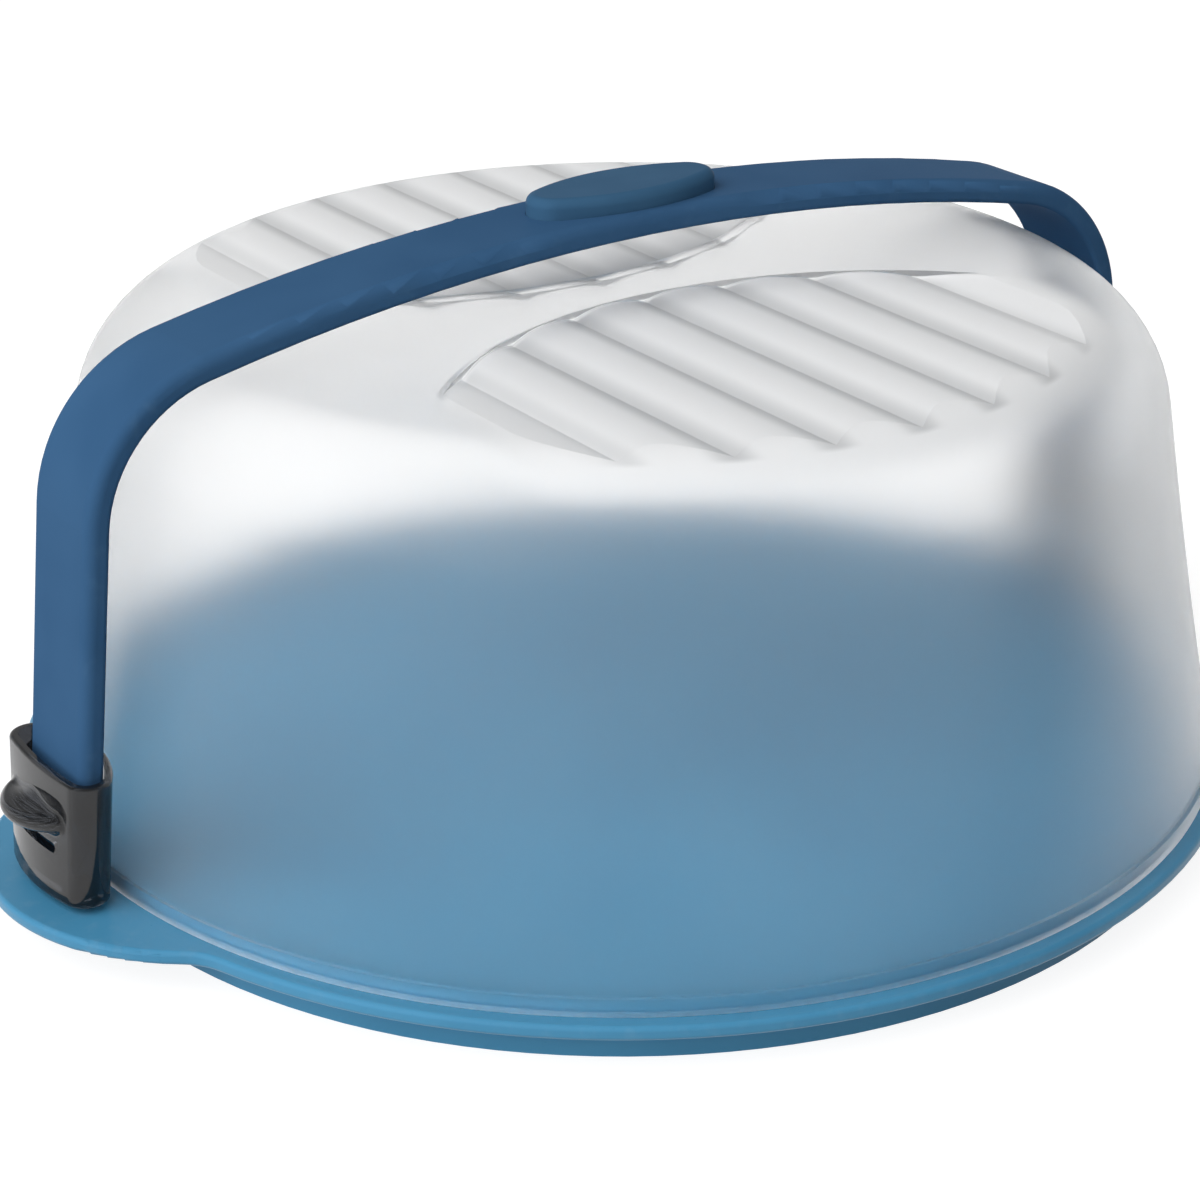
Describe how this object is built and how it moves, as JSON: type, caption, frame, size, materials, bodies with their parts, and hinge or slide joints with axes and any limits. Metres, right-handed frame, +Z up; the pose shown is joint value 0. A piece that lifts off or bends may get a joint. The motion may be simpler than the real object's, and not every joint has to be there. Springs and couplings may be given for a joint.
{
  "type": "cake carrier",
  "caption": "Round cake carrier: blue tray with grip ears, frosted clear dome with ribbed top panels, and a strap handle held down by rocking clips.",
  "frame": {"origin": "middle of the foot ring, on the surface the carrier stands on", "axes": "+Z up, +X through both ears and both ends of the handle, +Y to the back of the carrier"},
  "size_m": [0.352, 0.3124, 0.1579],
  "materials": {
    "tray_blue": "smooth satin",
    "frosted_clear": "frosted",
    "handle_blue": "satin",
    "badge_blue": "smooth",
    "smoky_clear": "polished",
    "pin_steel": "drawn"
  },
  "bodies": {
    "base": {"base_tray": "tray_blue"},
    "dome": {"dome_cover": "frosted_clear"},
    "handle": {"carry_handle": "handle_blue", "handle_badge": "badge_blue", "left_clip_pin": "pin_steel", "right_clip_pin": "pin_steel"},
    "left_clip": {"left_clip": "smoky_clear"},
    "right_clip": {"right_clip": "smoky_clear"}
  },
  "joints": [
    {"name": "dome_lift", "type": "slide", "parent": "base", "child": "dome", "axis": [0, 0, 1], "range_m": [0, 0.14]},
    {"name": "handle_lift", "type": "slide", "parent": "dome", "child": "handle", "axis": [0, 0, 1], "range_m": [0, 0.125]},
    {"name": "left_clip_rock", "type": "hinge", "parent": "handle", "child": "left_clip", "pos_m": [-0.15763, 0, 0.04], "axis": [0, 1, 0], "range_deg": [0, 15]},
    {"name": "right_clip_rock", "type": "hinge", "parent": "handle", "child": "right_clip", "pos_m": [0.15763, 0, 0.04], "axis": [0, -1, 0], "range_deg": [0, 15]}
  ]
}
